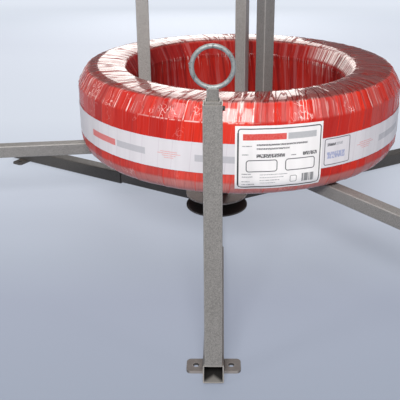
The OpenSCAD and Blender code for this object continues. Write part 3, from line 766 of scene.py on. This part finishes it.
for face in film.faces:
    for loop in face.loops:
        azimuth = math.atan2(loop.vert.co.y - COIL_Y, loop.vert.co.x - COIL_X)
        run = loop.vert[bend][0]
        if azimuth < -3.0 and any(l.vert.co.y > COIL_Y and l.vert.co.x < COIL_X for l in face.loops):
            azimuth += math.tau
        if run < 0.01 and any(l.vert[bend][0] > film_girth / 2 for l in face.loops):
            run += film_girth
        loop[wrap].uv = (azimuth / math.tau * STRIPS - run / film_girth, run)
for v in film.verts:
    run, out, rise = v[bend]
    c, s, _ = v[spread]
    azimuth, tilt = math.atan2(s, c), math.degrees(math.asin(max(-1.0, min(1.0, rise))))
    lift = film_height(azimuth, run, tilt, out > 0) - out * flat(azimuth, run, v[reach])
    v.co += Vector((c * out, s * out, rise)) * lift


def run_at(height):
    """Run of the drawn film at that height on the coil's outer wall."""
    return min((abs(place.y - height), run) for run, place, _ in section if place.x > OUTER_PART)[1]


OUTER_CREASE, LOWER_CREASE = run_at(COIL_TOP - SHOULDER), run_at(COIL_BOTTOM + SHOULDER)
TOP_START = run_at(COIL_TOP - EDGE_DROP)
INNER_TOP = TOP_START + COIL_OUT - COIL_IN - 2 * EDGE_IN
INNER_CREASE = INNER_TOP + 2 * EDGE_IN


def film_paint():
    """Strip tones and hems, painted sheen and shade, then painted glints where the film is pulled."""
    paint = Finish("red_film", Specular_IOR_Level=0.06, Coat_Roughness=0.05)
    strip, run, _ = paint.parts(paint.node("UVMap", {"uv_map": "wrap"}, {})["UV"])
    c, s, _ = paint.parts(paint.node("Attribute", {"attribute_name": "spread"}, {})["Vector"])
    slant = run * GRAIN_LEAN - paint.maths("MAXIMUM", run - TOP_START, 0.0) * s * 0.9
    cosine, sine = paint.maths("COSINE", slant), paint.maths("SINE", slant)
    across, beside = c * cosine + s * sine, s * cosine - c * sine

    def streaks(width, length, offset, detail=3.0):
        """Noise drawn out along the film's grain."""
        return paint.noise(paint.joined(across * (GRAIN_REACH / width), beside * (GRAIN_REACH / width),
                                        run / length + offset), 1.0, detail, 0.6)

    def ridges(value, width):
        """Thin lines where the value passes through its middle."""
        return 1 - abs(value - 0.5).step(0.0, width)

    whole = paint.maths("FLOOR", strip)
    part = strip - whole
    inner = part.step(HEMS[1] - 0.004, HEMS[1] + 0.004)
    turn = whole % STRIPS
    tint = paint.chance(turn) * (1 - inner) + paint.chance(turn + 57.5) * inner
    fine, coarse = streaks(0.0022, 0.150, 0.0), streaks(0.007, 0.220, 4.0)
    shoulder = run.within(OUTER_CREASE + 0.002, TOP_START + 0.004, 0.003)
    inner_fold = run.within(INNER_TOP, INNER_CREASE + 0.002, 0.003)
    inner_edge = run.within(INNER_CREASE - 0.004, INNER_CREASE + 0.003, 0.002)
    inner_folds = run.within(INNER_CREASE - 0.004, INNER_CREASE + 0.022, 0.006)
    inside = run.step(INNER_TOP - 0.002, INNER_TOP + 0.004)
    top = run.within(TOP_START, INNER_TOP, 0.004)
    below = (1 - run.step(LOWER_CREASE - 0.006, LOWER_CREASE + 0.001)) * (1 - inside)
    pulled = paint.maths("MINIMUM", shoulder + inner_edge + inner_folds * 0.3 + below * 0.05, 1.0)
    busy = 1 - c.step(0.25, 0.55) * (1 - s.step(-0.2, 0.2)) * 0.75
    near_hem = sum(1 - abs(part - at).step(0.02, 0.11) for at in (*HEMS, 1 + HEMS[0]))
    first_hem, second_hem = (1 - abs(part - at).step(0.006, wide) for at, wide in zip(HEMS, (0.030, 0.016)))
    # Fine pale streaks: stretch whitening of the film and partly painted sheen.
    fibres = fine.step(0.50, 0.64) * (0.06 + pulled * 0.12) * (1 - below * 0.8) * busy
    # Pink streaks within the shoulders' flats: painted sheen.
    pink_sheen = streaks(0.0130, 0.300, 83.0, 1.5).step(0.40, 0.60) * (shoulder * 0.75 + 0.12) * (1 - inside)
    # Paler low on the front wall: painted reflection of the floor.
    low_wall_reflection = (1 - run.step(LOWER_CREASE + 0.016, LOWER_CREASE + 0.036)) * (1 - inside)
    # Darker red towards the coil's left and right: painted shade.
    side_shade = abs(c).step(0.20, 1.00) * 0.42 + abs(c).step(0.90, 0.99) * 0.22
    # Thin crease lines, sunk in the bump and painted dark: painted shade.
    shaded_crease_lines = ridges(streaks(0.0150, 0.120, 14.0, 1.0), 0.030 + top * 0.020)
    shaded_crease_lines = shaded_crease_lines * (0.25 + shoulder * 0.4 + top * 0.75)
    # Pale lines and strokes along the film: painted glints.
    dashes = streaks(0.0120, 0.045, 47.0, 1.0).step(0.47, 0.56)
    glint_lines = ridges(streaks(0.0110, 0.300, 31.0, 0.5), 0.036) * dashes
    glint_strokes = streaks(0.0028, 0.200, 21.0, 1.0).step(0.58, 0.66) * streaks(0.05, 0.10, 9.0).step(0.44, 0.58)
    painted_glints = paint.maths("MAXIMUM", glint_lines * (near_hem * 0.6 + 0.4), glint_strokes * busy * 0.8)
    # Crinkled pale lines: painted glints.
    crinkle_glints = ridges(paint.noise(paint.joined(c * 34, s * 34, run * 80), 1.0, 1.5, 0.6), 0.030)
    crinkle_glints = crinkle_glints * streaks(0.040, 0.040, 157.0, 1.0).step(0.58, 0.66) * (1 - top) * (1 - inside)
    # A pale line along the outer crease at the front: a painted glint.
    crease = 1 - abs(run - OUTER_CREASE - 0.0010).step(0.0003, 0.0020)
    crease = crease * c.within(-0.50, 0.02, 0.12) * (1 - s.step(-0.9, -0.6)) * coarse.step(0.40, 0.54)
    # A pale band on the inner rim at the right: painted reflection.
    rim_strokes = streaks(0.0050, 0.300, 61.0, 1.5).step(0.44, 0.50)
    rim_reflection = run.within(INNER_TOP - 0.002, INNER_CREASE - 0.010, 0.004)
    rim_reflection = rim_reflection * c.step(0.62, 0.92) * s.within(-0.35, 0.66, 0.20)
    folds = streaks(0.0200, 0.400, 71.0, 2.0)
    colour = paint.coats(
        paint.ramp(tint, (0.0, (0.430, 0.016, 0.011)), (0.25, (0.540, 0.021, 0.013)),
                   (0.5, (0.630, 0.025, 0.012)), (0.75, (0.690, 0.031, 0.014)),
                   (1.0, (0.540, 0.085, 0.070))),
        (coarse.step(0.50, 0.70) * 0.22, (0.340, 0.008, 0.006)),
        (fibres, (0.800, 0.200, 0.160)),
        (pink_sheen * 0.62, (0.500, 0.135, 0.125)),
        (low_wall_reflection * c.within(-0.70, 0.20, 0.20) * 0.14, (0.640, 0.260, 0.230)),
        # The film's underside paler and pinker: painted reflection of the floor.
        (below * 0.62, (0.580, 0.290, 0.262)),
        (first_hem * 0.55, (0.820, 0.030, 0.010)),
        (second_hem * 0.22, (0.740, 0.160, 0.130)),
        (side_shade, (0.330, 0.022, 0.018)),
        # Darker in the bore and on its top fold: painted shade.
        (inside * 0.56 + inner_fold * 0.16, (0.170, 0.008, 0.009)),
        # The top painted darker and browner than the film: painted shade.
        (top * 0.80, (0.125, 0.046, 0.040)),
        (shaded_crease_lines * 0.60, (0.150, 0.003, 0.003)),
        (top * shaded_crease_lines * 0.75, (0.250, 0.016, 0.012)),
        (painted_glints * (0.04 + pulled * 0.86) * (0.35 + busy * 0.65), (0.960, 0.800, 0.760)),
        (crinkle_glints * (0.14 + shoulder * 0.46 + below * 0.16), (0.960, 0.780, 0.740)),
        (crease * 0.60, (0.960, 0.740, 0.690)),
        (rim_reflection * rim_strokes * 0.9, (0.900, 0.790, 0.750)),
        # Pale folds and dark hollows on the inner wall: painted light and painted shade.
        (inside * folds.step(0.52, 0.64) * 0.40, (0.400, 0.120, 0.120)),
        (inside * (1 - folds.step(0.34, 0.46)) * 0.55, (0.120, 0.006, 0.008)))
    tight = (1 - top * 0.85) * (0.35 + pulled * 0.45 + inside * 0.3) * (1 - below * 0.8)
    height = ((fine * 0.8 + coarse * 1.4) * tight + glint_lines * 0.6 - shaded_crease_lines * (0.5 + top * 2.2)
              + first_hem * 0.4 + second_hem * 0.3)
    sheen = (0.14 + shoulder * 0.18 + below * 0.06) * (1 - abs(c).step(0.60, 0.97) * 0.75)
    return paint.done(Base_Color=colour, Roughness=0.13 + fine * 0.10 + shaded_crease_lines * top * 0.5,
                      Coat_Weight=sheen + top * (1 - shaded_crease_lines) * 0.62 + inner_fold * 0.20,
                      Normal=paint.bumps(height, 0.0010, 0.9))


stretch_film = finished("stretch_film", film, film_paint(), "coil")
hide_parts("film_wrap")


# Paper band and labels
# A white paper band runs once round the coil, and two self-adhesive labels are stuck over it and
# the film. The paper follows the film's flats and buckles a little. It is printed with plain bars,
# frames, boxes and worn rules, and has no lettering.
BAND_PROUD, LABEL_PROUD, SMALL_PROUD, PAPER_THICK = 0.0004, 0.0008, 0.0006, 0.0003
INK_SOFT, RULE_HIGH = 0.00025, 0.0016


def on_coil(azimuth, run, proud):
    """The point that stands proud of the drawn film's flats at that azimuth and run."""
    after = bisect([row[0] for row in section], run)
    (low, from_place, from_out), (high, to_place, to_out) = section[after - 1], section[after]
    share = (run - low) / (high - low)
    place, out = from_place.lerp(to_place, share), from_out.lerp(to_out, share)
    place += out * (proud - out.x * flat(azimuth, run, place.x))
    return Vector((COIL_X + place.x * math.cos(azimuth), COIL_Y + place.x * math.sin(azimuth), place.y))


def paper(name, left, right, top, height, proud, columns, rows, material, replaced):
    """Sticks a sheet of paper on the coil between two azimuths in degrees. Its map is in metres."""
    sheet = bmesh.new()
    bmesh.ops.create_grid(sheet, x_segments=columns, y_segments=rows, size=0.5)
    printed = sheet.loops.layers.uv.new("print")
    width = math.radians(right - left) * COIL_OUT
    for face in sheet.faces:
        for loop in face.loops:
            loop[printed].uv = ((loop.vert.co.x + 0.5) * width, (loop.vert.co.y + 0.5) * height)
    bmesh.ops.solidify(sheet, geom=sheet.faces[:], thickness=1.0)
    sheet.verts.ensure_lookup_table()
    for v in sheet.verts:
        azimuth = math.radians(left + (v.co.x + 0.5) * (right - left))
        run = run_at(top) - (0.5 - v.co.y) * height
        buckle = 0.00022 * noise.noise(Vector((math.cos(azimuth) * 22, math.sin(azimuth) * 22, run * 9)))
        depth = PAPER_THICK if abs(v.co.z) > 0.5 else 0.0
        v.co = on_coil(azimuth, run, proud + buckle - depth)
    if right - left == 360:
        bmesh.ops.remove_doubles(sheet, verts=sheet.verts[:], dist=1e-5)
        joint = [f for f in sheet.faces
                 if all(abs(v.co.y - COIL_Y) < 1e-5 and v.co.x < COIL_X for v in f.verts)]
        bmesh.ops.delete(sheet, geom=joint, context="FACES_ONLY")
    bmesh.ops.recalc_face_normals(sheet, faces=sheet.faces[:])
    piece = finished(name, sheet, material, "coil")
    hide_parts(replaced)


class Print(Finish):
    """Printed paper. Its print is laid out in metres from the sheet's lower left corner."""

    def __init__(self, name, shade):
        super().__init__(name, Roughness=0.42, Specular_IOR_Level=0.45)
        self.x, self.y, _ = self.parts(self.node("UVMap", {"uv_map": "print"}, {})["UV"])
        here = self.place()
        self.fibre = self.noise(here, 380, 3.0, 0.6)
        pipes = self.noise(self.joined(self.x * 60, self.y * 5, 0.0), 1.0, 2.0)
        soil = self.noise(here, 30, 3.0)
        self.colour = self.coats(shade, (pipes.step(0.40, 0.68) * 0.45, lighter(shade, 0.90)),
                                 (soil.step(0.50, 0.75) * 0.25, lighter(shade, 0.86)))
        self.height = self.fibre * 0.25 + pipes * 1.4

    def ink(self, mask, colour):
        """Prints the colour where the mask is 1, thinner where the fibres stand low."""
        self.colour = self.coats(self.colour, (mask * (0.78 + self.fibre * 0.3), colour))

    def bar(self, left, right, low, high):
        """Mask of a plain bar."""
        return self.x.within(left, right, INK_SOFT) * self.y.within(low, high, INK_SOFT)

    def rules(self, left, right, low, high, dense=900):
        """Mask of a worn printed rule, broken into short dashes."""
        dashes = self.noise(self.joined(self.x * dense, self.y * dense * 0.6, 0.0), 1.0, 2.0)
        return self.bar(left, right, low, high) * (dashes.step(0.40, 0.52) * 0.75 + 0.2)

    def outline(self, left, right, low, high, corner, line):
        """Mask of a rounded frame whose line is that wide."""
        across = abs(self.x - (left + right) / 2) - ((right - left) / 2 - corner)
        upward = abs(self.y - (low + high) / 2) - ((high - low) / 2 - corner)
        beyond = self.joined(self.maths("MAXIMUM", across, 0.0), self.maths("MAXIMUM", upward, 0.0), 0.0)
        within = self.maths("MINIMUM", self.maths("MAXIMUM", across, upward), 0.0)
        away = self.apart(beyond, (0, 0, 0)) + within - corner
        return 1 - abs(away).step(line / 2 - 0.0002, line / 2 + 0.0003)

    def printed(self):
        """The finished paper."""
        return self.done(Base_Color=self.colour, Normal=self.bumps(self.height, 0.0005, 0.6))


BAND_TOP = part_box("paper_band")[1][2]
BAND_HIGH = BAND_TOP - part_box("paper_band")[0][2]
PAPER = (0.705, 0.668, 0.688)
BAND_RED, BAND_GREY, BAND_RULES = (0.660, 0.060, 0.042), (0.430, 0.420, 0.445), (0.700, 0.160, 0.150)
band = Print("paper_band", PAPER)
turns = band.x / (math.tau * COIL_OUT / STRIPS) - band.y * 1.7
whole_turns = band.maths("FLOOR", turns)
turn_part = turns - whole_turns
band.ink(band.chance(whole_turns + turn_part.step(0.41, 0.43)) * 0.45, lighter(PAPER, 0.86))
edges = (1 - abs(turn_part - 0.42).step(0.004, 0.018)) + (1 - abs(turn_part - 0.985).step(0.004, 0.015))
band.ink(edges * 0.45, (0.52, 0.44, 0.49))
band.ink(1 - band.y.within(0.0006, BAND_HIGH - 0.0006, 0.0004), (0.62, 0.60, 0.66))
for left, right, ink in ((0.186, 0.264, BAND_RED), (0.268, 0.336, BAND_GREY),
                         (0.430, 0.520, BAND_GREY), (0.796, 0.900, BAND_GREY)):
    band.ink(band.bar(left, right, 0.0200, 0.0320) * 0.85, ink)
for left, right in ((0.361, 0.405), (0.730, 0.776)):
    for row, inset in enumerate((0.006, 0.0, 0.009, 0.013)):
        low = 0.0310 - row * 0.0036
        band.ink(band.rules(left + inset, right - inset, low, low + 0.0012), BAND_RULES)
paper("band", -180, 180, BAND_TOP, BAND_HIGH, BAND_PROUD, 720, 9, band.printed(), "paper_band")

LABEL_AZIMUTHS, LABEL_WIDE, LABEL_HIGH = (-92.3, -65.5), 0.1519, 0.114
LABEL_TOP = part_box("coil_label")[1][2]
LABEL_INK, GREY_INK, RED_INK = (0.022, 0.021, 0.022), (0.270, 0.265, 0.275), (0.640, 0.035, 0.020)
label = Print("large_label", (0.845, 0.812, 0.802))
label.ink(label.outline(0.0054, LABEL_WIDE - 0.0036, 0.0046, LABEL_HIGH - 0.0054, 0.0045, 0.0019),
          LABEL_INK)
label.ink(label.bar(0.0036, 0.0062, 0.0090, LABEL_HIGH - 0.0120)
          + label.bar(0.0100, LABEL_WIDE - 0.0120, 0.0030, 0.0050), LABEL_INK)
label.ink(label.bar(0.0130, 0.0860, 0.0890, 0.1000), RED_INK)
label.ink(label.bar(0.0890, 0.1400, 0.0890, 0.1000), (0.43, 0.43, 0.44))
for left, right, low, high, dense in (
        (0.0360, 0.1240, 0.0790, 0.0822, 900), (0.0360, 0.0920, 0.0722, 0.0752, 900),
        (0.0360, 0.0840, 0.0580, 0.0645, 420), (0.1160, 0.1420, 0.0580, 0.0645, 420),
        (0.0950, 0.1040, 0.0595, 0.0612, 900)):
    label.ink(label.rules(left, right, low, high, dense), (0.035, 0.034, 0.036))
for low, right in ((0.0780, 0.0280), (0.0630, 0.0225), (0.0285, 0.0270),
                   (0.0235, 0.0300), (0.0150, 0.0250), (0.0095, 0.0330)):
    label.ink(label.rules(0.0115, right, low, low + RULE_HIGH), (0.120, 0.118, 0.122))
for left in (0.0190, 0.0860):
    label.ink(label.outline(left, left + 0.0520, 0.0335, 0.0535, 0.0045, 0.0015), (0.050, 0.050, 0.055))
for row in range(4):
    low = 0.0268 - row * 0.0050
    label.ink(label.rules(0.0420, 0.0900 - row * 0.0070, low, low + RULE_HIGH), GREY_INK)
upright_bars = label.chance(label.maths("FLOOR", label.x * 700)) > 0.45
label.ink(label.bar(0.1150, 0.1390, 0.0105, 0.0255) * (upright_bars * 0.75 + 0.2), (0.16, 0.16, 0.165))
label.ink(label.outline(0.0950, 0.1060, 0.0120, 0.0230, 0.0020, 0.0010), (0.15, 0.15, 0.15))
paper("large_label", *LABEL_AZIMUTHS, LABEL_TOP, LABEL_HIGH, LABEL_PROUD, 90, 48, label.printed(),
      "coil_label")

SMALL_AZIMUTHS, SMALL_WIDE, SMALL_HIGH = (-64.8, -54.4), 0.0590, 0.052
SMALL_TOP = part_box("small_label")[1][2]
small = Print("small_label", PAPER)
small.ink(small.outline(0.0020, SMALL_WIDE - 0.0030, 0.0025, SMALL_HIGH - 0.0025, 0.0035, 0.0013),
          (0.045, 0.045, 0.055))
for left, right, low, high, dense, strong, ink in (
        (0.0070, 0.0250, 0.0365, 0.0415, 420, 1.0, (0.050, 0.050, 0.055)),
        (0.0265, 0.0400, 0.0365, 0.0415, 420, 1.0, (0.400, 0.395, 0.410)),
        (0.0070, 0.0450, 0.0135, 0.0255, 330, 0.7, (0.130, 0.190, 0.440))):
    small.ink(small.rules(left, right, low, high, dense) * strong, ink)
paper("small_paper_label", *SMALL_AZIMUTHS, SMALL_TOP, SMALL_HIGH, SMALL_PROUD, 40, 20, small.printed(),
      "small_label")
